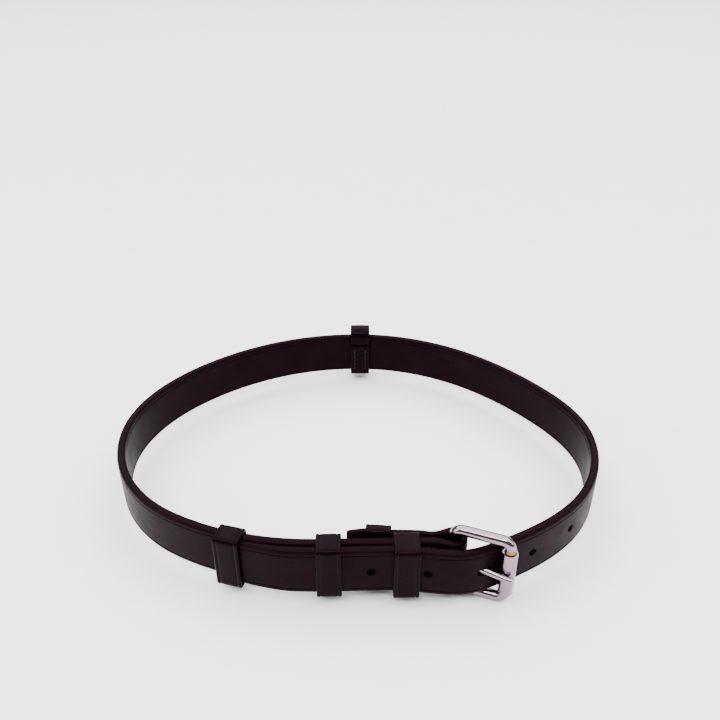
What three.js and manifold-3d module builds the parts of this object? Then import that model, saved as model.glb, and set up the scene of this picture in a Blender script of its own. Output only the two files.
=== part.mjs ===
// A buckled leather martingale strap, standing on its lower edge, in millimetres with +Z up.
// The front run lies along X and the ring's back is on the +Y side.
import * as THREE from "three";
import { mergeVertices } from "three/addons/utils/BufferGeometryUtils.js";
import Module from "manifold-3d";

const wasm = await Module();
wasm.setup();

// ---------------------------------------------------------------- driving dimensions
const STRAP_WIDTH = 25.4;
const STRAP_THICK = 4.3;
const TAIL_THICK = 2.8;
const FOLD_THICK = 3.4;
const TIP_THICK = 2.7;
const LAYER_GAP = 0.4;
const REST_GAP = 0.3;
const HOLE_RADIUS = 1.9;
const HOLE_PITCH = 25;

const ROD_RADIUS = 2.45;
const HEEL_BAR = new THREE.Vector2(41.4, -68.7);
const ROLLER_BAR = new THREE.Vector2(64.8, -77.3);
const FRAME_HEIGHT = 34;
const FRAME_CORNER = 4;
const ROLLER_BORE = 2.7;
const ROLLER_RADIUS = 3.45;
const ROLLER_TOP = 24;
const TONGUE_RADIUS = 1.8;
const TONGUE_TIP_RADIUS = 1.35;
const TONGUE_CLEARANCE = 0.35;
const TONGUE_TRAVEL = 7;

const LOOP_WIDTH = 12;
const LOOP_WALL = 1.4;
const THREAD_RADIUS = 0.3;
const STITCH_SPREAD = 3.4;

const MID_HEIGHT = STRAP_WIDTH / 2;
const UP = new THREE.Vector3(0, 0, 1);

// ---------------------------------------------------------------- the strap's route, seen from above
// A station is [x, y, heading in degrees]. The route starts at the turned-back tail, rounds the heel
// bar, runs along the front and clockwise round the ring, and ends at the billet's tip.
const FRONT_HEADING = 181.3;
const FRONT_START = [31, -70.72, FRONT_HEADING];
const FRONT_LENGTH = 50;
const FRONT_RADIUS = 130;
const FRONT_ARC_END = 150;
const FOLD_RADIUS = ROD_RADIUS + 0.25 + FOLD_THICK / 2;
const BILLET_OFFSET = STRAP_THICK + LAYER_GAP;
const TIP_RADIUS = FRONT_RADIUS + STRAP_THICK / 2 + LAYER_GAP + TIP_THICK / 2;

const TAIL_STATIONS = [
  [-6, -64.1, -4.3],
  [12, -65.45, -4.3],
  [26, -65.95, -3],
  [32, -66.8, 0],
];
const RING_STATIONS = [
  [-124, 10, 90],
  [-95, 70.7, 44],
  [-2, 109.35, 0],
  [69.8, 83.7, -38],
  [105, 46, -55],
  [120.4, 4, -90],
  [97.7, -49.2, -136.4],
  [64, -71.2, -154.5],
  [43, -78.3, -180],
];

const rad = THREE.MathUtils.degToRad;

function direction(heading) {
  return new THREE.Vector2(Math.cos(rad(heading)), Math.sin(rad(heading)));
}

// The unit vector to the left of travel, which is away from the ring's middle.
function leftOf(heading) {
  return direction(heading + 90);
}

function shifted([x, y, heading], ahead, left) {
  const point = new THREE.Vector2(x, y)
    .addScaledVector(direction(heading), ahead)
    .addScaledVector(leftOf(heading), left);
  return [point.x, point.y, heading];
}

function bend([xa, ya, headingA], [xb, yb, headingB]) {
  const start = new THREE.Vector2(xa, ya);
  const end = new THREE.Vector2(xb, yb);
  const turn = THREE.MathUtils.euclideanModulo(headingB - headingA + 180, 360) - 180;
  const reach = start.distanceTo(end) / (3 * Math.cos(rad(turn / 4)) ** 2);
  const afterStart = start.clone().addScaledVector(direction(headingA), reach);
  const beforeEnd = end.clone().addScaledVector(direction(headingB), -reach);
  return new THREE.CubicBezierCurve(start, afterStart, beforeEnd, end);
}

function arc(centre, radius, fromHeading, toHeading) {
  const from = rad(fromHeading + 90);
  const to = rad(toHeading + 90);
  return new THREE.EllipseCurve(centre.x, centre.y, radius, radius, from, to, true);
}

const frontEnd = shifted(FRONT_START, FRONT_LENGTH, 0);
const arcCentre = new THREE.Vector2(...shifted(frontEnd, 0, -FRONT_RADIUS));

function onFrontArc(radius, heading) {
  const point = arcCentre.clone().addScaledVector(leftOf(heading), radius);
  return [point.x, point.y, heading];
}

function onFold(heading) {
  const point = HEEL_BAR.clone().addScaledVector(leftOf(heading), FOLD_RADIUS);
  return [point.x, point.y, heading];
}

// Each leg is {curve, steps, from, to}: the thickness runs from one value to the other.
function strapLegs() {
  const legs = [];
  const addLeg = (curve, steps, from, to = from) => legs.push({ curve, steps, from, to });

  for (let i = 0; i + 1 < TAIL_STATIONS.length; i++) {
    addLeg(bend(TAIL_STATIONS[i], TAIL_STATIONS[i + 1]), 6, TAIL_THICK);
  }
  addLeg(bend(TAIL_STATIONS.at(-1), onFold(20)), 10, TAIL_THICK, FOLD_THICK);
  addLeg(arc(HEEL_BAR, FOLD_RADIUS, 20, -195), 24, FOLD_THICK);
  addLeg(bend(onFold(-195), FRONT_START), 10, FOLD_THICK, STRAP_THICK);
  addLeg(bend(FRONT_START, frontEnd), 4, STRAP_THICK);
  addLeg(arc(arcCentre, FRONT_RADIUS, FRONT_HEADING, FRONT_ARC_END), 16, STRAP_THICK);

  let last = onFrontArc(FRONT_RADIUS, FRONT_ARC_END);
  for (const station of RING_STATIONS) {
    addLeg(bend(last, station), 16, STRAP_THICK);
    last = station;
  }
  const billetStart = shifted(FRONT_START, 19, BILLET_OFFSET);
  const billetRadius = FRONT_RADIUS + BILLET_OFFSET;
  addLeg(bend(last, billetStart), 12, STRAP_THICK);
  addLeg(bend(billetStart, onFrontArc(billetRadius, FRONT_HEADING)), 4, STRAP_THICK);
  addLeg(arc(arcCentre, billetRadius, FRONT_HEADING, 176), 4, STRAP_THICK);
  addLeg(bend(onFrontArc(billetRadius, 176), onFrontArc(TIP_RADIUS, 167)), 6, STRAP_THICK, TIP_THICK);
  addLeg(arc(arcCentre, TIP_RADIUS, 167, 163), 3, TIP_THICK);
  return legs;
}

// ---------------------------------------------------------------- solids
function toManifold(geometry) {
  const plain = new THREE.BufferGeometry();
  plain.setAttribute("position", geometry.getAttribute("position").clone());
  if (geometry.index) plain.setIndex(geometry.index.clone());
  const merged = mergeVertices(plain, 1e-4);
  const mesh = new wasm.Mesh({
    numProp: 3,
    vertProperties: new Float32Array(merged.getAttribute("position").array),
    triVerts: new Uint32Array(merged.index.array),
  });
  return new wasm.Manifold(mesh);
}

function toGeometry(solid) {
  const mesh = solid.getMesh();
  const geometry = new THREE.BufferGeometry();
  geometry.setAttribute("position", new THREE.BufferAttribute(new Float32Array(mesh.vertProperties), 3));
  geometry.setIndex(new THREE.BufferAttribute(new Uint32Array(mesh.triVerts), 1));
  geometry.computeVertexNormals();
  return geometry;
}

function flatShaded(geometry) {
  const facets = geometry.index ? geometry.toNonIndexed() : geometry;
  facets.computeVertexNormals();
  return facets;
}

// A rod of round section along points that lie in one plane with the given normal.
function rod(points, radii, planeNormal, closed = false, sides = 16) {
  const count = points.length;
  const positions = [];
  const index = [];
  for (let i = 0; i < count; i++) {
    const before = points[closed ? (i + count - 1) % count : Math.max(i - 1, 0)];
    const after = points[closed ? (i + 1) % count : Math.min(i + 1, count - 1)];
    const across = after.clone().sub(before).normalize().cross(planeNormal);
    for (let j = 0; j < sides; j++) {
      const angle = (2 * Math.PI * j) / sides;
      const vertex = points[i].clone()
        .addScaledVector(across, radii[i] * Math.cos(angle))
        .addScaledVector(planeNormal, radii[i] * Math.sin(angle));
      positions.push(vertex.x, vertex.y, vertex.z);
    }
  }
  const spans = closed ? count : count - 1;
  for (let i = 0; i < spans; i++) {
    for (let j = 0; j < sides; j++) {
      const a = i * sides + j;
      const b = i * sides + ((j + 1) % sides);
      const c = ((i + 1) % count) * sides + j;
      const d = ((i + 1) % count) * sides + ((j + 1) % sides);
      index.push(a, c, b, b, c, d);
    }
  }
  if (!closed) {
    const lastRing = (count - 1) * sides;
    for (let j = 1; j + 1 < sides; j++) {
      index.push(0, j, j + 1);
      index.push(lastRing, lastRing + j + 1, lastRing + j);
    }
  }
  const geometry = new THREE.BufferGeometry();
  geometry.setAttribute("position", new THREE.Float32BufferAttribute(positions, 3));
  geometry.setIndex(index);
  return geometry;
}

// Turns a solid drawn with x outward, y up and z along the strap to its station on the route.
function placeAcross(geometry, [x, y, heading]) {
  const outward = leftOf(heading);
  const travel = direction(heading);
  const basis = new THREE.Matrix4().makeBasis(
    new THREE.Vector3(outward.x, outward.y, 0),
    UP,
    new THREE.Vector3(travel.x, travel.y, 0),
  );
  basis.setPosition(x, y, 0);
  return geometry.applyMatrix4(basis);
}

// ---------------------------------------------------------------- buckle
const frameRun = ROLLER_BAR.clone().sub(HEEL_BAR);
const frameAcross = new THREE.Vector3(frameRun.x, frameRun.y, 0).normalize();
const frameNormal = new THREE.Vector3(frameAcross.y, -frameAcross.x, 0);
const frameLow = MID_HEIGHT - FRAME_HEIGHT / 2;

function buckleFrame() {
  const length = frameRun.length();
  const r = FRAME_CORNER;
  const outline = new THREE.Path();
  outline.absarc(r, r, r, Math.PI, 1.5 * Math.PI);
  outline.absarc(length - r, r, r, 1.5 * Math.PI, 2 * Math.PI);
  outline.absarc(length - r, FRAME_HEIGHT - r, r, 0, 0.5 * Math.PI);
  outline.absarc(r, FRAME_HEIGHT - r, r, 0.5 * Math.PI, Math.PI);
  const flat = outline.getPoints(8);
  const points = flat.map(({ x, y }) => new THREE.Vector3(HEEL_BAR.x, HEEL_BAR.y, frameLow + y)
    .addScaledVector(frameAcross, x));
  const distinct = points.filter((point, i) => point.distanceTo(points.at(i - 1)) > 0.01);
  return rod(distinct, distinct.map(() => ROD_RADIUS), frameNormal, true, 20);
}

function buckleRoller() {
  const low = frameLow + FRAME_CORNER + 0.3;
  const rim = 0.35;
  const profile = [
    [ROLLER_BORE, low],
    [ROLLER_RADIUS - rim, low],
    [ROLLER_RADIUS, low + rim],
    [ROLLER_RADIUS, ROLLER_TOP - rim],
    [ROLLER_RADIUS - rim, ROLLER_TOP],
    [ROLLER_BORE, ROLLER_TOP],
    [ROLLER_BORE, low],
  ].map(([x, y]) => new THREE.Vector2(x, y));
  const geometry = new THREE.LatheGeometry(profile, 32);
  geometry.rotateX(Math.PI / 2);
  geometry.translate(ROLLER_BAR.x, ROLLER_BAR.y, 0);
  return geometry;
}

const TONGUE_EYE = ROD_RADIUS + 0.25 + TONGUE_RADIUS;
const TONGUE_STATIONS = [
  [HEEL_BAR.x, HEEL_BAR.y - TONGUE_EYE, 0],
  [54.3, -76.6, -28],
  [65, -82.9, -24],
];

// The tongue's eye wraps the heel bar, and its shank runs out through the third hole to the roller.
function buckleTongue(extra = 0) {
  const eye = new THREE.EllipseCurve(HEEL_BAR.x, HEEL_BAR.y, TONGUE_EYE, TONGUE_EYE, rad(15), rad(270));
  const shank = bend(TONGUE_STATIONS[0], TONGUE_STATIONS[1]);
  const point = bend(TONGUE_STATIONS[1], TONGUE_STATIONS[2]);
  const flat = [...eye.getPoints(16), ...shank.getPoints(8).slice(1), ...point.getPoints(8).slice(1)];
  const points = flat.map(({ x, y }) => new THREE.Vector3(x, y, MID_HEIGHT));
  const taperStart = points.length - 9;
  const radii = points.map((_, i) => extra + THREE.MathUtils.mapLinear(
    Math.max(i, taperStart), taperStart, points.length - 1, TONGUE_RADIUS, TONGUE_TIP_RADIUS));
  const end = points.at(-1);
  const last = direction(TONGUE_STATIONS[2][2]).multiplyScalar(0.8);
  points.push(new THREE.Vector3(end.x + last.x, end.y + last.y, MID_HEIGHT));
  radii.push(extra + TONGUE_TIP_RADIUS * 0.55);
  return rod(points, radii, UP, false, 14);
}

// ---------------------------------------------------------------- strap
function strapBody() {
  const left = [];
  const right = [];
  for (const { curve, steps, from, to } of strapLegs()) {
    for (let i = left.length ? 1 : 0; i <= steps; i++) {
      const u = i / steps;
      const point = curve.getPoint(u);
      const tangent = curve.getTangent(u);
      const half = THREE.MathUtils.lerp(from, to, u) / 2;
      left.push(new THREE.Vector2(point.x - tangent.y * half, point.y + tangent.x * half));
      right.push(new THREE.Vector2(point.x + tangent.y * half, point.y - tangent.x * half));
    }
  }
  const outline = new THREE.Shape([...right, ...left.reverse()]);
  return new THREE.ExtrudeGeometry(outline, { depth: STRAP_WIDTH, bevelEnabled: false });
}

// Hole centres lie on the billet, one pitch apart along its middle, either side of the tongue's hole.
function holeStations() {
  const billet = new THREE.CurvePath();
  strapLegs().slice(-10).forEach(({ curve }) => billet.add(curve));
  const samples = billet.getSpacedPoints(4000);
  const step = billet.getLength() / 4000;
  const target = new THREE.Vector2(TONGUE_STATIONS[1][0], TONGUE_STATIONS[1][1]);
  const distances = samples.map((point) => point.distanceTo(target));
  const nearest = distances.indexOf(Math.min(...distances));
  return [-2, -1, 1, 2].map((count) => {
    const i = nearest + Math.round((count * HOLE_PITCH) / step);
    const ahead = samples[i + 1].clone().sub(samples[i - 1]);
    return [samples[i].x, samples[i].y, THREE.MathUtils.radToDeg(ahead.angle())];
  });
}

function punch([x, y, heading]) {
  const cutter = new THREE.CylinderGeometry(HOLE_RADIUS, HOLE_RADIUS, STRAP_THICK + 0.6, 24);
  cutter.rotateZ(Math.PI / 2);
  cutter.translate(0, MID_HEIGHT, 0);
  return placeAcross(cutter, [x, y, heading]);
}

// Trims the billet to a rounded point: a plate with the point's outline cut out of it.
function tipTrimmer() {
  const length = 12;
  const plate = new THREE.Shape();
  plate.moveTo(-1, -1);
  plate.lineTo(-1, STRAP_WIDTH + 1);
  plate.lineTo(length + 4, STRAP_WIDTH + 1);
  plate.lineTo(length + 4, -1);
  const point = new THREE.Path();
  point.moveTo(-0.9, 0);
  point.lineTo(0, 0);
  point.bezierCurveTo(length * 0.55, 0, length, MID_HEIGHT * 0.6, length, MID_HEIGHT);
  point.bezierCurveTo(length, STRAP_WIDTH - MID_HEIGHT * 0.6, length * 0.55, STRAP_WIDTH, 0, STRAP_WIDTH);
  point.lineTo(-0.9, STRAP_WIDTH);
  plate.holes.push(point);
  const cutter = new THREE.ExtrudeGeometry(plate, { depth: TIP_THICK + 1, bevelEnabled: false, curveSegments: 10 });
  const turned = new THREE.Matrix4().makeBasis(
    new THREE.Vector3(0, 0, 1),
    new THREE.Vector3(0, 1, 0),
    new THREE.Vector3(-1, 0, 0),
  );
  cutter.applyMatrix4(turned);
  cutter.translate(STRAP_THICK / 2 + LAYER_GAP + TIP_THICK + 0.85, 0, 0);
  return placeAcross(cutter, shifted(onFrontArc(FRONT_RADIUS, 165.4), -6, 0));
}

// Cuts the two corners off the tail so that it narrows to a blunt end.
function tailTrimmers() {
  const [tipX, tipY] = TAIL_STATIONS[0];
  return [[-1, 0], [1, STRAP_WIDTH]].map(([sign, edge]) => {
    const corner = new THREE.Shape([
      new THREE.Vector2(tipX + 8, edge),
      new THREE.Vector2(tipX - 1, edge - sign * 2.1),
      new THREE.Vector2(tipX - 1, edge + sign),
      new THREE.Vector2(tipX + 8, edge + sign),
    ]);
    const cutter = new THREE.ExtrudeGeometry(corner, { depth: 5, bevelEnabled: false });
    cutter.rotateX(Math.PI / 2);
    return cutter.translate(0, tipY + 2.5, 0);
  });
}

function mainStrap() {
  let strap = toManifold(strapBody());
  const cut = (geometry) => {
    strap = strap.subtract(toManifold(geometry));
  };
  holeStations().map(punch).forEach(cut);
  cut(tipTrimmer());
  tailTrimmers().forEach(cut);

  // The slot in the fold leaves room for the tongue's eye.
  const slot = new THREE.BoxGeometry(12, 16, 2 * TONGUE_RADIUS + 0.9);
  cut(slot.translate(HEEL_BAR.x + 1.4, HEEL_BAR.y + 1, MID_HEIGHT));

  // The third hole is worn long enough for the tongue to swing a little.
  for (let angle = 0; angle <= TONGUE_TRAVEL; angle += TONGUE_TRAVEL / 4) {
    const room = buckleTongue(TONGUE_CLEARANCE).translate(-HEEL_BAR.x, -HEEL_BAR.y, 0);
    cut(room.rotateZ(-rad(angle)).translate(HEEL_BAR.x, HEEL_BAR.y, 0));
  }
  return flatShaded(toGeometry(strap));
}

// ---------------------------------------------------------------- loops
// A closed leather band seen along the strap. x is outward from the ring and y is up. One end of the
// band laps over the other on the inner side, from the lower corner up to the step.
function loopShape({ inner, outer, low, high, wall, innerWall, lapTop, soft = 0.8 }) {
  const edge = inner - innerWall;
  const lapped = lapTop ? edge - wall : edge;
  const foot = low - wall;
  const head = high + wall;
  const side = outer + wall;
  const bendRadius = Math.min(wall + 0.6, 2);
  const top = soft + wall * 0.6;
  const shape = new THREE.Shape();
  shape.moveTo(lapped + bendRadius, foot);
  shape.lineTo(side - bendRadius, foot);
  shape.absarc(side - bendRadius, foot + bendRadius, bendRadius, -0.5 * Math.PI, 0, false);
  shape.lineTo(side, head - top);
  shape.absarc(side - top, head - top, top, 0, 0.5 * Math.PI, false);
  shape.lineTo(edge + top, head);
  shape.absarc(edge + top, head - top, top, 0.5 * Math.PI, Math.PI, false);
  if (lapTop) {
    shape.lineTo(edge, lapTop);
    shape.lineTo(lapped, lapTop - 0.5);
  }
  shape.lineTo(lapped, foot + bendRadius);
  shape.absarc(lapped + bendRadius, foot + bendRadius, bendRadius, Math.PI, 1.5 * Math.PI, false);

  const hole = new THREE.Path();
  const small = 0.6;
  hole.absarc(inner + small, low + small, small, 1.5 * Math.PI, Math.PI, true);
  hole.absarc(inner + soft, high - soft, soft, Math.PI, 0.5 * Math.PI, true);
  hole.absarc(outer - soft, high - soft, soft, 0.5 * Math.PI, 0, true);
  hole.absarc(outer - small, low + small, small, 0, -0.5 * Math.PI, true);
  shape.holes.push(hole);
  return shape;
}

function leatherLoop({ station, width = LOOP_WIDTH, ...sizes }) {
  const options = { depth: width, bevelEnabled: false, curveSegments: 6 };
  const band = new THREE.ExtrudeGeometry(loopShape(sizes), options);
  band.translate(0, 0, -width / 2);
  return placeAcross(band, station);
}

// A straight row of stitches, standing upright against a face: x is the distance out from the station.
function stitchRow(station, x, along, low, high) {
  const thread = new THREE.CapsuleGeometry(THREAD_RADIUS, high - low - 2 * THREAD_RADIUS, 3, 8);
  thread.translate(x, (low + high) / 2, along);
  return placeAcross(thread, station);
}

const half = STRAP_THICK / 2;
const snug = { low: -REST_GAP, high: STRAP_WIDTH + REST_GAP, wall: LOOP_WALL, innerWall: LOOP_WALL };
const doubleDepth = half + BILLET_OFFSET + REST_GAP;

const tailAlong = [TAIL_STATIONS[0][0], TAIL_STATIONS[0][1], TAIL_STATIONS[0][2]];
const tailBack = shifted(tailAlong, 14.2, 0);
tailBack[2] += 180;

const LOOPS = {
  tip_keeper: {
    ...snug,
    station: onFrontArc(FRONT_RADIUS, 164.3),
    inner: -half - REST_GAP,
    outer: half + LAYER_GAP + TIP_THICK + 0.6,
    wall: 1.3,
    innerWall: 1.3,
    lapTop: 19,
    stitches: [3, 17],
  },
  middle_keeper: {
    ...snug,
    station: shifted(FRONT_START, 44.8, 0),
    inner: -half - REST_GAP,
    outer: doubleDepth,
    lapTop: 19,
    width: 11.2,
    stitches: [3, 17],
  },
  buckle_keeper: {
    ...snug,
    station: shifted(FRONT_START, 10.7, 0),
    inner: -half - REST_GAP,
    outer: doubleDepth + 1.4,
    innerWall: 0.8,
    width: 11.6,
  },
  tail_keeper: {
    ...snug,
    station: tailBack,
    inner: -TAIL_THICK / 2 - REST_GAP,
    outer: TAIL_THICK / 2 + REST_GAP,
    wall: 1.2,
    innerWall: 1.2,
    lapTop: 19,
    width: 11.4,
    stitches: [3, 17],
  },
  rear_loop: {
    ...snug,
    station: [0, 109.3, 0],
    inner: -half - REST_GAP - 0.1,
    outer: half + REST_GAP + 4.7,
    high: 28.8,
    soft: 4.2,
    wall: 1.5,
    innerWall: 1.5,
    lapTop: 19.5,
    stitches: [2.6, 18],
  },
};

// ---------------------------------------------------------------- assembly
const group = new THREE.Group();

function material(color, roughness, metalness = 0) {
  return new THREE.MeshStandardMaterial({ color, roughness, metalness });
}

function addPart(name, geometry, look) {
  const mesh = new THREE.Mesh(flatShaded(geometry), look);
  mesh.name = name;
  group.add(mesh);
}

addPart("main_strap", mainStrap(), material(0x2b2025, 0.45));
addPart("buckle_frame", buckleFrame(), material(0xd2d0d6, 0.12, 1));
addPart("buckle_roller", buckleRoller(), material(0xd2d0d6, 0.15, 1));
addPart("buckle_tongue", buckleTongue(), material(0xd2d0d6, 0.15, 1));

for (const [name, sizes] of Object.entries(LOOPS)) {
  addPart(name, leatherLoop(sizes), material(0x1e1619, 0.35));
  if (!sizes.stitches) continue;
  const face = sizes.inner - sizes.innerWall - sizes.wall - THREAD_RADIUS - 0.1;
  [-STITCH_SPREAD, STITCH_SPREAD].forEach((along, i) => {
    const row = stitchRow(sizes.station, face, along, ...sizes.stitches);
    addPart(`${name}_stitching_${i + 1}`, row, material(0x15100f, 0.7));
  });
}

const seamFace = THREAD_RADIUS + 0.25;
const tailSeam = shifted(TAIL_STATIONS[3], -0.7, 0);
const frontSeam = shifted(FRONT_START, 0, 0);
[-1.2, 1.2].forEach((along, i) => {
  const rear = stitchRow(tailSeam, TAIL_THICK / 2 + seamFace, along, 3, STRAP_WIDTH - 3);
  const front = stitchRow(frontSeam, half + seamFace, along, 3, STRAP_WIDTH - 3);
  addPart(`fold_seam_rear_${i + 1}`, rear, material(0x15100f, 0.7));
  addPart(`fold_seam_front_${i + 1}`, front, material(0x15100f, 0.7));
});

// The origin is the middle of the whole object's footprint, on the surface that it stands on.
const bounds = new THREE.Box3().setFromObject(group);
const middle = bounds.getCenter(new THREE.Vector3());
group.position.set(-middle.x, -middle.y, -bounds.min.z);

export default group;
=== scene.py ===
import math
import random

import bpy
import numpy as np
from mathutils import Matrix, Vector


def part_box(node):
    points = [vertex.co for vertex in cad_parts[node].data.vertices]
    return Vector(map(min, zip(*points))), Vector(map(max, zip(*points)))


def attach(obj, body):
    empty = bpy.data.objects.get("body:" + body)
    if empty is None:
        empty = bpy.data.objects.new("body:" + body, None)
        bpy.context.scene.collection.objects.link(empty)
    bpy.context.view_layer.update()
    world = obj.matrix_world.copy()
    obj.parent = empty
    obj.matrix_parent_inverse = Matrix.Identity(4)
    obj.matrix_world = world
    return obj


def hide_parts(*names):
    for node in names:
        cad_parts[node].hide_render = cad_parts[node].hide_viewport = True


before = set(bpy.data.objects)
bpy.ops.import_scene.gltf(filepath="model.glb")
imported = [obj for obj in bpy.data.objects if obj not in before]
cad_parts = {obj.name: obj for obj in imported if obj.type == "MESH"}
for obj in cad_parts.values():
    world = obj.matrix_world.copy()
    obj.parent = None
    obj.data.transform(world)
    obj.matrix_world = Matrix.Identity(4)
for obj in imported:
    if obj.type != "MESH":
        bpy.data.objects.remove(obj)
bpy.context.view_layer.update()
random.seed(7)

# Sizes are in millimetres, as in the CAD model, and turned to metres as each mesh is made.
MM = 0.001
STRAP_WIDTH = 25.4
STRAP_THICK = 4.3
TAIL_THICK = 2.8
FOLD_THICK = 3.4
TIP_THICK = 2.7
LAYER_GAP = 0.4
REST_GAP = 0.3
HALF = STRAP_THICK / 2
MID_HEIGHT = STRAP_WIDTH / 2
HOLE_RADIUS = 1.75
HOLE_PITCH = 25
POINT_LENGTH = 12
RUNNING_GAP = 0.25

ROD_RADIUS = 2.45
HEEL_BAR = np.array([41.4, -68.7])
ROLLER_BAR = np.array([64.8, -77.3])
FRAME_HEIGHT = 34
FRAME_CORNER = 4
FRAME_LOW = MID_HEIGHT - FRAME_HEIGHT / 2
ROLLER_BORE = 2.7
ROLLER_RADIUS = 3.45
ROLLER_TOP = 24
TONGUE_RADIUS = 1.8
TONGUE_TIP_RADIUS = 1.35
TONGUE_EYE = ROD_RADIUS + RUNNING_GAP + TONGUE_RADIUS
TONGUE_TRAVEL = 7
TONGUE_ROOM = 0.3
SLEEVE_LOW = 1
SLEEVE_HIGH = 26.3
SLEEVE_WALL = 0.08

SHARP_ANGLE = 35
CUT_SHADE = 0.9
STITCH_PITCH = 2.9

# The strap's route, seen from above, as stations [x, y, heading in degrees].
FRONT_HEADING = 181.3
FRONT_START = (31, -70.72, FRONT_HEADING)
FRONT_LENGTH = 50
FRONT_RADIUS = 130
FRONT_ARC_END = 150
FOLD_RADIUS = ROD_RADIUS + RUNNING_GAP + FOLD_THICK / 2
BILLET_OFFSET = STRAP_THICK + LAYER_GAP
BILLET_RADIUS = FRONT_RADIUS + BILLET_OFFSET
TIP_RADIUS = FRONT_RADIUS + HALF + LAYER_GAP + TIP_THICK / 2
TAIL_STATIONS = [(-6, -64.1, -4.3), (12, -65.45, -4.3), (26, -65.95, -3), (32, -66.8, 0)]
RING_STATIONS = [
    (-124, 10, 90),
    (-95, 70.7, 44),
    (-2, 109.35, 0),
    (69.8, 83.7, -38),
    (105, 46, -55),
    (120.4, 4, -90),
    (97.7, -49.2, -136.4),
    (64, -71.2, -154.5),
    (43, -78.3, -180),
]
TONGUE_STATIONS = [(HEEL_BAR[0], HEEL_BAR[1] - TONGUE_EYE, 0), (54.3, -76.6, -28), (65, -82.9, -24)]

# The CAD model is moved so that its footprint is centred and it stands on the floor.
roller_low, roller_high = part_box("buckle_roller")
SHIFT = Vector((
    (roller_low.x + roller_high.x) / 2 - ROLLER_BAR[0] * MM,
    (roller_low.y + roller_high.y) / 2 - ROLLER_BAR[1] * MM,
    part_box("main_strap")[0].z,
))


# ---------------------------------------------------------------- routes
def direction(heading):
    return np.array([math.cos(math.radians(heading)), math.sin(math.radians(heading))])


def left_of(heading):
    return direction(heading + 90)


def shifted(station, ahead, left):
    x, y, heading = station
    point = np.array([x, y]) + direction(heading) * ahead + left_of(heading) * left
    return (point[0], point[1], heading)


def bend(a, b, steps):
    start, end = np.array(a[:2]), np.array(b[:2])
    turn = (b[2] - a[2] + 180) % 360 - 180
    reach = np.linalg.norm(end - start) / (3 * math.cos(math.radians(turn / 4)) ** 2)
    controls = [start, start + direction(a[2]) * reach, end - direction(b[2]) * reach, end]
    t = np.linspace(0, 1, steps + 1)[:, None]
    weights = [(1 - t) ** 3, 3 * (1 - t) ** 2 * t, 3 * (1 - t) * t ** 2, t ** 3]
    return sum(w * c for w, c in zip(weights, controls))


def arc(centre, radius, from_heading, to_heading, steps):
    angles = np.radians(np.linspace(from_heading, to_heading, steps + 1) + 90)
    return np.asarray(centre) + radius * np.stack([np.cos(angles), np.sin(angles)], axis=1)


front_end = shifted(FRONT_START, FRONT_LENGTH, 0)
arc_centre = np.array(shifted(front_end, 0, -FRONT_RADIUS)[:2])


def on_front_arc(radius, heading):
    point = arc_centre + left_of(heading) * radius
    return (point[0], point[1], heading)


def on_fold(heading):
    point = HEEL_BAR + left_of(heading) * FOLD_RADIUS
    return (point[0], point[1], heading)


def strap_route():
    """Points along the strap's middle and the half thickness at each, from the tail to the billet's tip."""
    legs = []

    def add(points, start, end=None):
        legs.append((points, np.linspace(start, start if end is None else end, len(points))))

    for a, b in zip(TAIL_STATIONS, TAIL_STATIONS[1:]):
        add(bend(a, b, 12), TAIL_THICK)
    add(bend(TAIL_STATIONS[-1], on_fold(20), 20), TAIL_THICK, FOLD_THICK)
    add(arc(HEEL_BAR, FOLD_RADIUS, 20, -195, 44), FOLD_THICK)
    add(bend(on_fold(-195), FRONT_START, 20), FOLD_THICK, STRAP_THICK)
    add(bend(FRONT_START, front_end, 36), STRAP_THICK)
    add(arc(arc_centre, FRONT_RADIUS, FRONT_HEADING, FRONT_ARC_END, 48), STRAP_THICK)
    last = on_front_arc(FRONT_RADIUS, FRONT_ARC_END)
    for station in RING_STATIONS:
        distance = math.dist(last[:2], station[:2])
        add(bend(last, station, max(12, round(distance / 1.5))), STRAP_THICK)
        last = station
    billet_start = shifted(FRONT_START, 19, BILLET_OFFSET)
    add(bend(last, billet_start, 24), STRAP_THICK)
    add(bend(billet_start, on_front_arc(BILLET_RADIUS, FRONT_HEADING), 24), STRAP_THICK)
    add(arc(arc_centre, BILLET_RADIUS, FRONT_HEADING, 176, 9), STRAP_THICK)
    add(bend(on_front_arc(BILLET_RADIUS, 176), on_front_arc(TIP_RADIUS, 167), 15), STRAP_THICK, TIP_THICK)
    add(arc(arc_centre, TIP_RADIUS, 167, 163.2, 16), TIP_THICK)

    points = np.concatenate([leg[0] if i == 0 else leg[0][1:] for i, leg in enumerate(legs)])
    thick = np.concatenate([leg[1] if i == 0 else leg[1][1:] for i, leg in enumerate(legs)])
    return points, thick / 2


def tangents(points, closed=False):
    if closed:
        ahead = np.roll(points, -1, axis=0) - np.roll(points, 1, axis=0)
    else:
        ahead = np.gradient(points, axis=0)
    return ahead / np.linalg.norm(ahead, axis=1)[:, None]


def distance_along(points):
    return np.concatenate([[0], np.cumsum(np.linalg.norm(np.diff(points, axis=0), axis=1))])


# ---------------------------------------------------------------- meshes
def shade_points(mesh, shades):
    """Stores how far each point takes the edge tone, from 0 on the face to 1 at an edge: a darker burnish on
    the strap, a lighter painted highlight on the keepers.
    """
    attribute = mesh.attributes.new("edge", "FLOAT", "POINT")
    attribute.data.foreach_set("value", np.asarray(shades, float))


def make_mesh(name, vertices, faces, edge=None, sharp=SHARP_ANGLE):
    mesh = bpy.data.meshes.new(name)
    placed = np.asarray(vertices, float) * MM + np.array(SHIFT)
    mesh.from_pydata(placed.tolist(), [], faces)
    if edge is not None:
        shade_points(mesh, edge)
    mesh.validate()
    smooth(mesh, sharp)
    piece = bpy.data.objects.new(name, mesh)
    bpy.context.scene.collection.objects.link(piece)
    return piece


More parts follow.
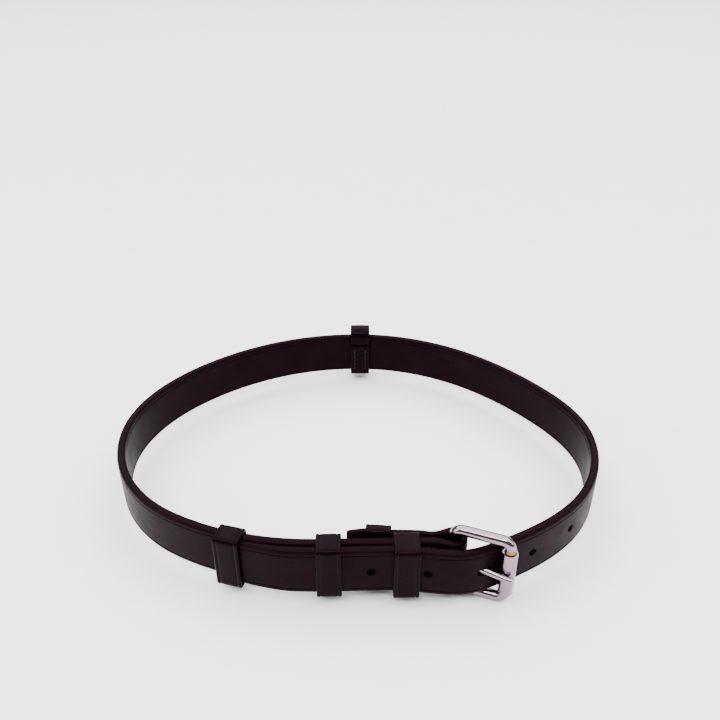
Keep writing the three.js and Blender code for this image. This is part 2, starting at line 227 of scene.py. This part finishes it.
def smooth(mesh, sharp):
    mesh.polygons.foreach_set("use_smooth", [True] * len(mesh.polygons))
    mesh.set_sharp_from_angle(angle=math.radians(sharp))
    mesh.update()


def tube_faces(rings, around, closed=False):
    """Quads between successive rings, with the two ends capped unless the tube closes on itself."""
    faces = []
    for i in range(rings if closed else rings - 1):
        here, there = i * around, (i + 1) % rings * around
        for j in range(around):
            k = (j + 1) % around
            faces.append((here + j, here + k, there + k, there + j))
    if not closed:
        faces.append(tuple(reversed(range(around))))
        faces.append(tuple(range((rings - 1) * around, rings * around)))
    return faces


def rod(name, points, radii, normal, closed=False, sides=32):
    """A smooth round rod along 3-D points that lie in a plane with the given normal."""
    points = np.asarray(points, float)
    normal = np.asarray(normal, float)
    across = np.cross(tangents(points, closed), normal)
    angles = np.linspace(0, 2 * math.pi, sides, endpoint=False)
    circle = np.cos(angles)[:, None, None] * across + np.sin(angles)[:, None, None] * normal
    rings = points + circle * np.asarray(radii, float)[:, None]
    vertices = rings.transpose(1, 0, 2).reshape(-1, 3)
    faces = [tuple(reversed(face)) for face in tube_faces(len(points), sides, closed)]
    return make_mesh(name, vertices, faces)


def apply_modifiers(piece):
    graph = bpy.context.evaluated_depsgraph_get()
    mesh = bpy.data.meshes.new_from_object(piece.evaluated_get(graph))
    piece.modifiers.clear()
    piece.data = mesh
    smooth(mesh, SHARP_ANGLE)


def cut(piece, cutters):
    for cutter in cutters:
        modifier = piece.modifiers.new(cutter.name, "BOOLEAN")
        modifier.operation = "DIFFERENCE"
        modifier.solver = "MANIFOLD"
        modifier.object = cutter
    apply_modifiers(piece)
    piece.data.materials.clear()
    for cutter in cutters:
        bpy.data.objects.remove(cutter)


# ---------------------------------------------------------------- materials
def new_material(name):
    material = bpy.data.materials.new(name)
    material.use_nodes = True
    nodes = material.node_tree.nodes
    return material, nodes, material.node_tree.links, nodes["Principled BSDF"]


def noise(nodes, links, coordinates, scale, detail=4, roughness=0.55):
    texture = nodes.new("ShaderNodeTexNoise")
    texture.inputs["Scale"].default_value = scale
    texture.inputs["Detail"].default_value = detail
    texture.inputs["Roughness"].default_value = roughness
    links.new(coordinates, texture.inputs["Vector"])
    return texture.outputs["Fac"]


def ramp(nodes, links, factor, stops):
    node = nodes.new("ShaderNodeValToRGB")
    while len(node.color_ramp.elements) < len(stops):
        node.color_ramp.elements.new(0.5)
    for element, (position, colour) in zip(node.color_ramp.elements, stops):
        element.position = position
        element.color = (*colour, 1)
    links.new(factor, node.inputs["Fac"])
    return node.outputs["Color"]


def grey_ramp(nodes, links, factor, stops):
    return ramp(nodes, links, factor, [(at, (value, value, value)) for at, value in stops])


def bump(nodes, links, height, strength, distance, below=None):
    node = nodes.new("ShaderNodeBump")
    node.inputs["Strength"].default_value = strength
    node.inputs["Distance"].default_value = distance
    links.new(height, node.inputs["Height"])
    if below is not None:
        links.new(below, node.inputs["Normal"])
    return node.outputs["Normal"]


def leather(name, tones, edge_burnish_and_highlight_tone, gloss, grain, specular, coat):
    """Waxed leather: mottled dye, a pebbled grain, fine wrinkles, and edges and creases mixed toward an edge
    tone: burnished, darker edges on the strap, and a lighter painted highlight on the keepers' edges and
    creases.
    """
    material, nodes, links, shader = new_material(name)
    place = nodes.new("ShaderNodeTexCoord").outputs["Object"]

    mottle = noise(nodes, links, place, 55, 5, 0.6)
    dye = ramp(nodes, links, mottle, [(0.32, tones[0]), (0.68, tones[1])])
    edge = nodes.new("ShaderNodeAttribute")
    edge.attribute_name = "edge"
    # Edges and creases mix toward the edge tone: a darker burnish on the strap, a lighter painted highlight
    # on the keepers.
    burnish_and_painted_highlight = nodes.new("ShaderNodeMix")
    burnish_and_painted_highlight.data_type = "RGBA"
    links.new(edge.outputs["Fac"], burnish_and_painted_highlight.inputs["Factor"])
    links.new(dye, burnish_and_painted_highlight.inputs["A"])
    burnish_and_painted_highlight.inputs["B"].default_value = (*edge_burnish_and_highlight_tone, 1)
    links.new(burnish_and_painted_highlight.outputs["Result"], shader.inputs["Base Color"])

    patch = noise(nodes, links, place, 130, 6, 0.65)
    sheen = grey_ramp(nodes, links, patch, [(0.3, gloss[0]), (0.7, gloss[1])])
    links.new(sheen, shader.inputs["Roughness"])

    pebbles = nodes.new("ShaderNodeTexVoronoi")
    pebbles.feature = "SMOOTH_F1"
    pebbles.inputs["Scale"].default_value = grain
    links.new(place, pebbles.inputs["Vector"])
    wrinkles = noise(nodes, links, place, grain * 0.35, 6, 0.7)
    fine = bump(nodes, links, pebbles.outputs["Distance"], 0.22, 0.00012)
    normal = bump(nodes, links, wrinkles, 0.18, 0.00025, fine)
    links.new(normal, shader.inputs["Normal"])

    shader.inputs["Specular IOR Level"].default_value = specular
    shader.inputs["Specular Tint"].default_value = (1, 0.5, 0.75, 1)
    shader.inputs["Coat Weight"].default_value = coat
    shader.inputs["Coat Roughness"].default_value = 0.22
    return material


def plated_metal(name, colour, roughness):
    """Polished plating with faint polishing marks and a little unevenness in its gloss."""
    material, nodes, links, shader = new_material(name)
    place = nodes.new("ShaderNodeTexCoord").outputs["Object"]
    cloud = noise(nodes, links, place, 220, 5, 0.6)
    tint = ramp(nodes, links, cloud, [(0.35, [c * 0.94 for c in colour]), (0.7, colour)])
    links.new(tint, shader.inputs["Base Color"])
    shader.inputs["Metallic"].default_value = 1
    gloss = grey_ramp(nodes, links, cloud, [(0.3, roughness), (0.75, roughness * 1.9)])
    links.new(gloss, shader.inputs["Roughness"])
    marks = noise(nodes, links, place, 900, 3, 0.5)
    links.new(bump(nodes, links, marks, 0.035, 0.0001), shader.inputs["Normal"])
    return material


def waxed_thread():
    material, nodes, links, shader = new_material("waxed_thread")
    place = nodes.new("ShaderNodeTexCoord").outputs["Object"]
    fibre = noise(nodes, links, place, 1800, 4, 0.6)
    colour = ramp(nodes, links, fibre, [(0.3, (0.006, 0.004, 0.005)), (0.7, (0.02, 0.014, 0.017))])
    links.new(colour, shader.inputs["Base Color"])
    twist = nodes.new("ShaderNodeTexWave")
    twist.bands_direction = "DIAGONAL"
    twist.inputs["Scale"].default_value = 1500
    links.new(place, twist.inputs["Vector"])
    links.new(bump(nodes, links, twist.outputs["Fac"], 0.4, 0.0001), shader.inputs["Normal"])
    shader.inputs["Roughness"].default_value = 0.5
    shader.inputs["Specular IOR Level"].default_value = 0.08
    return material


STRAP_LEATHER = leather(
    "strap_leather", [(0.0028, 0.0006, 0.0015), (0.005, 0.0013, 0.0029)], (0.0034, 0.0008, 0.0019),
    gloss=(0.34, 0.48), grain=1500, specular=0.03, coat=0.003)
# The keepers' edge tone is lighter than their dye: a painted highlight along their edges and crease lines.
KEEPER_LEATHER = leather(
    "keeper_leather", [(0.0014, 0.0003, 0.0008), (0.003, 0.0008, 0.0018)], (0.004, 0.0012, 0.0024),
    gloss=(0.15, 0.27), grain=1900, specular=0.035, coat=0.004)
CHROME = plated_metal("chrome", (0.27, 0.205, 0.25), 0.06)
BRASS = plated_metal("brass", (0.3, 0.16, 0.06), 0.18)
THREAD = waxed_thread()


def finish_piece(piece, body, material, slot, *replaced):
    if not piece.data.materials:
        piece.data.materials.append(material)
    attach(piece, body)
    if replaced:
        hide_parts(*replaced)


# ---------------------------------------------------------------- the strap
# How the strap's section runs from an edge to its face: distance in from the edge, depth below the face.
EDGE_PROFILE = [
    (0, HALF),
    (0.04, 1.35),
    (0.17, 0.85),
    (0.45, 0.46),
    (0.85, 0.22),
    (1.4, 0.08),
    (2.0, 0.01),
    (2.35, 0.02),
    (2.55, 0.14),
    (2.7, 0.26),
    (2.85, 0.14),
    (3.05, 0.02),
    (3.5, 0),
    (7, 0),
]
EDGE_SHADE = [1, 1, 0.95, 0.7, 0.35, 0.12, 0, 0.1, 0.5, 0.9, 0.5, 0.1, 0, 0]


def strap_section(half, low, high):
    """The closed outline of the strap's section as (outward, height) and how burnished each point is."""
    reach = min(1, (high - low) / 2 / 7.2)
    side = [(half * (1 - depth / HALF) if distance < 1 else half - depth, distance * reach)
            for distance, depth in EDGE_PROFILE]
    outer = [(v, low + e) for v, e in side] + [(v, high - e) for v, e in reversed(side)]
    inner = [(-v, high - e) for v, e in side[1:]] + [(-v, low + e) for v, e in reversed(side[1:])]
    shade = EDGE_SHADE + EDGE_SHADE[::-1] + EDGE_SHADE[1:] + EDGE_SHADE[:0:-1]
    return outer + inner, shade


def tip_outline():
    """Distance from where the billet's point starts, and how far each edge has drawn in there."""
    t = np.linspace(0, 1, 60)
    along = 3 * (1 - t) ** 2 * t * POINT_LENGTH * 0.55 + 3 * (1 - t) * t ** 2 * POINT_LENGTH
    along += t ** 3 * POINT_LENGTH
    inset = 3 * (1 - t) * t ** 2 * MID_HEIGHT * 0.6 + t ** 3 * MID_HEIGHT
    return along, inset


def strap_piece():
    points, halves = strap_route()
    along = distance_along(points)
    tip_along, tip_inset = tip_outline()
    tail_taper = np.interp(along, [0, 8], [1.9, 0])
    point_taper = np.interp(along, along[-1] - POINT_LENGTH - 0.2 + tip_along, tip_inset, left=0)
    inset = np.minimum(tail_taper + point_taper, MID_HEIGHT - 0.35)
    ahead = tangents(points)
    outward = np.stack([-ahead[:, 1], ahead[:, 0]], axis=1)
    vertices, shades = [], []

    def add_ring(point, normal, half, low, grow=0.0):
        section, shade = strap_section(half - grow, low + grow, STRAP_WIDTH - low - grow)
        for v, z in section:
            vertices.append((*(point + normal * v), z))
        shades.extend(shade if grow == 0 else [1] * len(shade))

    add_ring(points[0], outward[0], halves[0], inset[0], 0.5)
    add_ring(points[0] + ahead[0] * 0.15, outward[0], halves[0], inset[0], 0.12)
    for i in range(1, len(points)):
        add_ring(points[i], outward[i], halves[i], inset[i])
    around = len(strap_section(HALF, 0, STRAP_WIDTH)[0])
    faces = tube_faces(len(points) + 1, around)
    return make_mesh("strap", vertices, faces, shades)


def lathe(profile, sides=40):
    """A solid of revolution about Z from (radius, height) points that form a closed outline."""
    angles = np.linspace(0, 2 * math.pi, sides, endpoint=False)
    vertices = [(r * math.cos(a), r * math.sin(a), z) for a in angles for r, z in profile]
    count = len(profile)
    faces = []
    for i in range(sides):
        here, there = i * count, (i + 1) % sides * count
        for j in range(count):
            k = (j + 1) % count
            faces.append((here + j, there + j, there + k, here + k))
    return vertices, faces


def hole_stations():
    """Where the four open holes lie along the billet, counted from the one that the tongue is in."""
    points = strap_route()[0][-240:]
    along = distance_along(points)
    start = along[np.argmin(np.linalg.norm(points - np.array(TONGUE_STATIONS[1][:2]), axis=1))]

    def point_at(distance):
        return np.array([np.interp(distance, along, points[:, 0]), np.interp(distance, along, points[:, 1])])

    for count in (-2, -1, 1, 2):
        place = point_at(start + count * HOLE_PITCH)
        beyond = point_at(start + count * HOLE_PITCH + 1)
        yield place, (beyond - place) / np.linalg.norm(beyond - place)


def hole_cutter(index, place, ahead):
    """A punch with a slightly belled mouth at each face, so the hole's lip is rounded."""
    depth = HALF + 0.4
    profile = [(0.001, -depth), (HOLE_RADIUS + 0.75, -depth), (HOLE_RADIUS + 0.45, -HALF + 0.02),
               (HOLE_RADIUS + 0.12, -HALF + 0.28), (HOLE_RADIUS, -HALF + 0.7), (HOLE_RADIUS, HALF - 0.7),
               (HOLE_RADIUS + 0.12, HALF - 0.28), (HOLE_RADIUS + 0.45, HALF - 0.02),
               (HOLE_RADIUS + 0.75, depth), (0.001, depth)]
    vertices, faces = lathe(profile)
    axis = np.array([-ahead[1], ahead[0], 0])
    side = np.array([ahead[0], ahead[1], 0])
    turned = [side * x + np.array([0, 0, 1]) * y + axis * z for x, y, z in vertices]
    centre = np.array([place[0], place[1], MID_HEIGHT])
    return make_mesh(f"hole_cutter_{index}", [centre + p for p in turned],
                     [tuple(reversed(f)) for f in faces], [CUT_SHADE] * len(vertices))


def tongue_points(extra=0.0):
    angles = np.radians(np.linspace(15, 270, 49))
    eye = HEEL_BAR + TONGUE_EYE * np.stack([np.cos(angles), np.sin(angles)], axis=1)
    shank = bend(TONGUE_STATIONS[0], TONGUE_STATIONS[1], 20)[1:]
    point = bend(TONGUE_STATIONS[1], TONGUE_STATIONS[2], 16)[1:]
    flat = np.concatenate([eye, shank, point])
    radii = np.full(len(flat), TONGUE_RADIUS)
    radii[-17:] = np.linspace(TONGUE_RADIUS, TONGUE_TIP_RADIUS, 17)
    return flat, radii + extra


def turned_about_heel(flat, degrees):
    c, s = math.cos(math.radians(degrees)), math.sin(math.radians(degrees))
    return (flat - HEEL_BAR) @ np.array([[c, s], [-s, c]]) + HEEL_BAR


def at_mid_height(flat):
    return np.column_stack([flat, np.full(len(flat), MID_HEIGHT)])


def make_strap():
    strap = strap_piece()
    cutters = [hole_cutter(i, place, ahead) for i, (place, ahead) in enumerate(hole_stations())]
    flat, radii = tongue_points(TONGUE_ROOM)
    for step in range(5):
        turned = turned_about_heel(flat, -step * TONGUE_TRAVEL / 4)
        cutters.append(rod(f"tongue_room_{step}", at_mid_height(turned), radii, (0, 0, 1), sides=24))
    slot = [(x, y, z) for x in (-4.6, 7.4) for y in (-7.2, 8.8) for z in (-2.3, 2.3)]
    centre = np.array([*HEEL_BAR, MID_HEIGHT])
    box_faces = [(0, 1, 3, 2), (4, 6, 7, 5), (0, 4, 5, 1), (2, 3, 7, 6), (0, 2, 6, 4), (1, 5, 7, 3)]
    cutters.append(make_mesh("slot_cutter", [centre + np.array(p) for p in slot], box_faces))
    for cutter in cutters:
        if "edge" not in cutter.data.attributes:
            shade_points(cutter.data, [CUT_SHADE] * len(cutter.data.vertices))
    cut(strap, cutters)
    finish_piece(strap, "strap", STRAP_LEATHER, "strap_leather", "main_strap")


# ---------------------------------------------------------------- loops and keepers
def rounded_path(corners, step=0.35):
    """A path through (x, y, radius, value) corners with each corner rounded; values blend between them."""
    points, values = [], []
    for i, (x, y, radius, value) in enumerate(corners):
        here = np.array([x, y], float)
        if i in (0, len(corners) - 1) or radius == 0:
            points.append(here)
            values.append(value)
            continue
        back = np.array(corners[i - 1][:2], float) - here
        ahead = np.array(corners[i + 1][:2], float) - here
        back /= np.linalg.norm(back)
        ahead /= np.linalg.norm(ahead)
        half_angle = math.acos(np.clip(back @ ahead, -1, 1)) / 2
        inset = radius / math.tan(half_angle)
        start, end = here + back * inset, here + ahead * inset
        bisector = (back + ahead) / np.linalg.norm(back + ahead)
        centre = here + bisector * radius / math.sin(half_angle)
        a, b = start - centre, end - centre
        sweep = math.pi - 2 * half_angle
        count = max(5, round(sweep * radius / step))
        for t in np.linspace(0, 1, count):
            blend = a * math.sin((1 - t) * sweep) + b * math.sin(t * sweep)
            points.append(centre + blend / math.sin(sweep))
            values.append(value)
    return resampled(np.array(points), np.array(values), step)


def resampled(points, values, step):
    """Adds points to the long straight runs, and keeps those that are there."""
    new_points, new_values = [points[0]], [values[0]]
    for a, b, va, vb in zip(points, points[1:], values, values[1:]):
        gap = np.linalg.norm(b - a)
        if gap < 1e-6:
            continue
        count = max(1, round(gap / (step * 3)))
        for t in np.linspace(0, 1, count + 1)[1:]:
            new_points.append(a + (b - a) * t)
            new_values.append(va + (vb - va) * t)
    return np.array(new_points), np.array(new_values)


def band_section(width, thick):
    """A band's section as (along the strap, out of the band, shade), creased near both edges outside; on the
    keepers the shade column gives the edges and crease lines a lighter tone, a painted highlight.
    """
    w, t = width / 2, thick / 2
    crease = 1.75
    right = [
        (w - 0.35, -t, 1),
        (w - 0.1, -t * 0.72, 1),
        (w, 0, 1),
        (w - 0.08, t * 0.62, 1),
        (w - 0.3, t * 0.93, 0.7),
        (w - 0.7, t + 0.05, 0.2),
        (w - 1.15, t + 0.06, 0),
        (w - 1.45, t - 0.02, 0.1),
        (w - crease + 0.08, t - 0.2, 0.6),
        (w - crease - 0.08, t - 0.24, 0.6),
        (w - crease - 0.38, t - 0.06, 0.1),
        (w - crease - 0.8, t, 0),
        (w * 0.35, t + 0.02, 0),
    ]
    left = [(-u, n, shade) for u, n, shade in reversed(right)]
    return [*right, *left]


def loop_corners(inner, outer, low, high, wall, inner_wall, lap_top, soft):
    """The band's middle line: up the inner side, over, down the outer side, under, and up over itself."""
    first = inner - inner_wall / 2
    lap = inner - inner_wall - wall / 2
    bend_radius = 0.6 + wall / 2
    if lap_top is None:
        middle = (low + high) / 2
        return [
            (first, middle, 0, inner_wall),
            (first, high + wall / 2, soft + wall / 2, wall),
            (outer + wall / 2, high + wall / 2, soft + wall / 2, wall),
            (outer + wall / 2, low - wall / 2, bend_radius, wall),
            (first, low - wall / 2, bend_radius, wall),
            (first, middle - 0.05, 0, inner_wall),
        ]
    return [
        (first, low + 0.9, 0, inner_wall * 0.96),
        (first, high + wall / 2, soft + wall / 2, inner_wall * 0.96),
        (outer + wall / 2, high + wall / 2, soft + wall / 2, wall),
        (outer + wall / 2, low - wall / 2, bend_radius, wall),
        (lap, low - wall / 2, bend_radius + 0.3, wall),
        (lap, lap_top, 0, wall * 0.9),
    ]


def to_world(station, outward, height, along):
    x, y, heading = station
    place = np.array([x, y]) + left_of(heading) * outward + direction(heading) * along
    return (place[0], place[1], height)


def band_piece(name, station, width, corners):
    path, thick = rounded_path(corners)
    ahead = tangents(path)
    out = np.stack([-ahead[:, 1], ahead[:, 0]], axis=1)
    vertices, shades = [], []
    last = len(path) - 1
    for i, (point, normal) in enumerate(zip(path, out)):
        end = min(i, last - i)
        squeeze = (0.55, 0.85, 1.0)[min(end, 2)]
        narrow = (0.3, 0.08, 0.0)[min(end, 2)]
        for u, n, shade in band_section(width - 2 * narrow, thick[i]):
            v, z = point + normal * n * squeeze
            vertices.append(to_world(station, v, z, u))
            shades.append(1 if end == 0 else shade)
    around = len(band_section(width, 1))
    faces = [tuple(reversed(face)) for face in tube_faces(len(path), around)]
    return make_mesh(name, vertices, faces, shades, sharp=50)


def stitch(centre, along, out, length, radius, sides=10, rings=9):
    """One stitch: a thread that dives into the leather at both ends and stands a little proud between."""
    centre, along, out = (np.asarray(v, float) for v in (centre, along, out))
    across = np.cross(along, out)
    vertices = []
    for i in range(rings):
        t = i / (rings - 1) * 2 - 1
        rise = radius * 0.55 - 1.1 * radius * abs(t) ** 3
        middle = centre + along * t * length / 2 + out * rise
        size = radius * (1 - 0.35 * abs(t) ** 4)
        for j in range(sides):
            angle = 2 * math.pi * j / sides
            spoke = across * math.cos(angle) + out * math.sin(angle) * 0.85
            vertices.append(middle + size * spoke)
    return vertices, [tuple(reversed(face)) for face in tube_faces(rings, sides)]


def stitch_row(name, centres, along, out, length=2.3, radius=0.34):
    vertices, faces = [], []
    for centre in centres:
        tilt = random.uniform(-0.06, 0.06)
        lean = np.asarray(along) + np.cross(along, out) * (0.14 + tilt)
        points, quads = stitch(centre, lean / np.linalg.norm(lean), out, length, radius)
        faces.extend(tuple(k + len(vertices) for k in quad) for quad in quads)
        vertices.extend(points)
    return make_mesh(name, vertices, faces, sharp=80)


SNUG = {"low": -REST_GAP, "high": STRAP_WIDTH + REST_GAP, "soft": 0.8, "lap_top": 19}
DOUBLE_DEPTH = HALF + BILLET_OFFSET + REST_GAP
TAIL_BACK = shifted(TAIL_STATIONS[0], 14.2, 0)[:2] + (TAIL_STATIONS[0][2] + 180,)
LOOPS = {
    "tip_keeper": {
        "body": "keeper_at_tip",
        "station": on_front_arc(FRONT_RADIUS, 164.3),
        "width": 12,
        "stitches": (3, 17),
        "sizes": {**SNUG, "inner": -HALF - REST_GAP, "outer": HALF + LAYER_GAP + TIP_THICK + 0.6,
                  "wall": 1.3, "inner_wall": 1.3},
    },
    "middle_keeper": {
        "body": "keeper_at_middle",
        "station": shifted(FRONT_START, 44.8, 0),
        "width": 11.2,
        "stitches": (3, 17),
        "sizes": {**SNUG, "inner": -HALF - REST_GAP, "outer": DOUBLE_DEPTH, "wall": 1.4, "inner_wall": 1.4},
    },
    "buckle_keeper": {
        "body": "strap",
        "station": shifted(FRONT_START, 10.7, 0),
        "width": 11.6,
        "stitches": None,
        "sizes": {**SNUG, "inner": -HALF - REST_GAP, "outer": DOUBLE_DEPTH + 1.4, "wall": 1.4,
                  "inner_wall": 0.8, "lap_top": None},
    },
    "tail_keeper": {
        "body": "keeper_at_tail",
        "station": TAIL_BACK,
        "width": 11.4,
        "stitches": (3, 17),
        "sizes": {**SNUG, "inner": -TAIL_THICK / 2 - REST_GAP, "outer": TAIL_THICK / 2 + REST_GAP,
                  "wall": 1.2, "inner_wall": 1.2},
    },
    "rear_loop": {
        "body": "strap",
        "station": (0, 109.3, 0),
        "width": 12,
        "stitches": (2.6, 18),
        "sizes": {**SNUG, "inner": -HALF - REST_GAP - 0.1, "outer": HALF + REST_GAP + 4.7, "high": 28.8,
                  "soft": 4.2, "wall": 1.5, "inner_wall": 1.5, "lap_top": 19.5},
    },
}


def make_loop(name, body, station, width, stitches, sizes):
    band = band_piece(name + "_band", station, width, loop_corners(**sizes))
    finish_piece(band, body, KEEPER_LEATHER, "keeper_leather", name)
    if not stitches:
        return
    face = sizes["inner"] - sizes["inner_wall"] - sizes["wall"]
    low, high = stitches
    out = to_world((0, 0, station[2]), -1, 0, 0)
    for number, along in ((1, -3.4), (2, 3.4)):
        heights = np.arange(low + 1.4, high, STITCH_PITCH)
        centres = [to_world(station, face + 0.02, z, along) for z in heights]
        row = stitch_row(f"{name}_thread_{number}", centres, (0, 0, 1), out)
        finish_piece(row, body, THREAD, "thread", f"{name}_stitching_{number}")


def make_fold_seams():
    rear_station = shifted(TAIL_STATIONS[3], -0.7, 0)
    heights = np.arange(4.2, STRAP_WIDTH - 3, STITCH_PITCH)
    sides = (("rear", rear_station, TAIL_THICK / 2), ("front", FRONT_START, HALF))
    for number, along in ((1, -1.2), (2, 1.2)):
        for side, station, face in sides:
            out = to_world((0, 0, station[2]), 1, 0, 0)
            centres = [to_world(station, face + 0.1, z, along) for z in heights]
            row = stitch_row(f"fold_thread_{side}_{number}", centres, (0, 0, 1), out)
            finish_piece(row, "strap", THREAD, "thread", f"fold_seam_{side}_{number}")


# ---------------------------------------------------------------- buckle
def make_frame():
    run = ROLLER_BAR - HEEL_BAR
    length = np.linalg.norm(run)
    across = np.array([*(run / length), 0])
    normal = np.array([across[1], -across[0], 0])
    r = FRAME_CORNER
    flat = []
    right, top = length - r, FRAME_HEIGHT - r
    for x, y, start in ((r, r, 180), (right, r, 270), (right, top, 0), (r, top, 90)):
        for angle in np.radians(np.linspace(start, start + 90, 17)):
            flat.append((x + r * math.cos(angle), y + r * math.sin(angle)))
    flat = np.array(flat)
    closed, _ = resampled(np.vstack([flat, flat[:1]]), np.zeros(len(flat) + 1), 0.5)
    closed = closed[:-1]
    points = np.array([*HEEL_BAR, FRAME_LOW]) + closed[:, :1] * across + closed[:, 1:] * np.array([0, 0, 1])
    piece = rod("frame_rod", points, np.full(len(points), ROD_RADIUS), normal, closed=True, sides=40)
    finish_piece(piece, "buckle", CHROME, "buckle_chrome", "buckle_frame")


def make_bare_metal():
    """The bar's own brass-coloured metal, seen between the roller's top and the frame's corner."""
    inside, outside = ROD_RADIUS + 0.01, ROD_RADIUS + SLEEVE_WALL
    profile = [(inside, SLEEVE_LOW), (outside, SLEEVE_LOW), (outside, SLEEVE_HIGH), (inside, SLEEVE_HIGH)]
    vertices, faces = lathe(profile, 48)
    centre = np.array([*ROLLER_BAR, 0])
    piece = make_mesh("bar_bare_metal", [centre + np.array(p) for p in vertices], faces)
    finish_piece(piece, "buckle", BRASS, "roller_chrome")


def make_roller():
    low, top, rim = FRAME_LOW + FRAME_CORNER + 0.3, ROLLER_TOP, 0.3
    profile = [
        (ROLLER_BORE, low + 0.15), (ROLLER_BORE + 0.12, low), (ROLLER_RADIUS - rim, low),
        (ROLLER_RADIUS - rim * 0.3, low + rim * 0.3), (ROLLER_RADIUS, low + rim),
        (ROLLER_RADIUS, top - rim), (ROLLER_RADIUS - rim * 0.3, top - rim * 0.3), (ROLLER_RADIUS - rim, top),
        (ROLLER_BORE + 0.12, top), (ROLLER_BORE, top - 0.15),
    ]
    vertices, faces = lathe(profile, 64)
    centre = np.array([*ROLLER_BAR, 0])
    piece = make_mesh("roller_tube", [centre + np.array(p) for p in vertices], faces)
    piece.data.materials.append(CHROME)
    piece.data.materials.append(BRASS)
    bore = (ROLLER_BORE + 0.2) * MM
    middle = Vector((*ROLLER_BAR, 0)) * MM + SHIFT
    for polygon in piece.data.polygons:
        spread = [(piece.data.vertices[k].co - middle).to_2d().length for k in polygon.vertices]
        polygon.material_index = int(max(spread) < bore)
    finish_piece(piece, "roller", CHROME, "roller_chrome", "buckle_roller")


def make_tongue():
    flat, radii = tongue_points()
    ahead = direction(TONGUE_STATIONS[2][2])
    for reach, size in ((0.5, 1), (0.66, 0.96), (0.78, 0.86)):
        flat = np.vstack([flat, np.array(TONGUE_STATIONS[2][:2]) + ahead * reach])
        radii = np.append(radii, TONGUE_TIP_RADIUS * size)
    piece = rod("tongue_wire", at_mid_height(flat), radii, (0, 0, 1), sides=32)
    finish_piece(piece, "tongue", CHROME, "buckle_chrome", "buckle_tongue")


# ---------------------------------------------------------------- stage, light and camera
def make_floor():
    mesh = bpy.data.meshes.new("floor")
    reach = 8
    corners = [(-reach, -reach, 0), (reach, -reach, 0), (reach, reach, 0), (-reach, reach, 0)]
    mesh.from_pydata(corners, [], [(0, 1, 2, 3)])
    floor = bpy.data.objects.new("floor", mesh)
    bpy.context.scene.collection.objects.link(floor)
    material, nodes, links, shader = new_material("floor_paper")
    place = nodes.new("ShaderNodeTexCoord").outputs["Object"]
    fibre = noise(nodes, links, place, 40, 3)
    links.new(grey_ramp(nodes, links, fibre, [(0.3, 0.92), (0.7, 0.94)]), shader.inputs["Base Color"])
    shader.inputs["Roughness"].default_value = 0.95
    shader.inputs["Specular IOR Level"].default_value = 0.1
    mesh.materials.append(material)


def area_light(name, place, target, size, power, colour=(1, 1, 1)):
    light = bpy.data.lights.new(name, "AREA")
    light.shape = "RECTANGLE"
    light.size, light.size_y = size
    light.energy = power
    light.color = colour
    lamp = bpy.data.objects.new(name, light)
    lamp.location = place
    lamp.rotation_euler = (Vector(target) - Vector(place)).to_track_quat("-Z", "Y").to_euler()
    bpy.context.scene.collection.objects.link(lamp)


def make_lights():
    area_light("overhead", (0, 1.2, 2.2), (0, 1.2, 0), (5.5, 5), 420)
    area_light("left_side", (-1.3, -0.3, 0.55), (0, 0, 0.02), (0.7, 0.7), 9)
    area_light("right_side", (1.3, -0.2, 0.6), (0, 0, 0.02), (0.7, 0.7), 7)
    area_light("strip", (-0.15, -0.75, 1.1), (0, -0.05, 0.02), (1.1, 0.16), 13)
    world = bpy.data.worlds.new("studio")
    world.use_nodes = True
    background = world.node_tree.nodes["Background"]
    background.inputs["Color"].default_value = (1, 0.99, 1, 1)
    background.inputs["Strength"].default_value = 0.3
    bpy.context.scene.world = world


def make_camera():
    data = bpy.data.cameras.new("camera")
    data.lens = 36.95
    data.sensor_width = 36
    camera = bpy.data.objects.new("camera", data)
    camera.location = Vector((0, -304.7, 261.1)) * MM + SHIFT
    camera.rotation_euler = (math.radians(58.4), 0, 0)
    data.clip_start = 0.01
    bpy.context.scene.collection.objects.link(camera)
    bpy.context.scene.camera = camera


make_camera()
make_floor()
make_lights()
make_strap()
for loop_name, facts in LOOPS.items():
    make_loop(loop_name, **facts)
make_fold_seams()
make_frame()
make_roller()
make_bare_metal()
make_tongue()
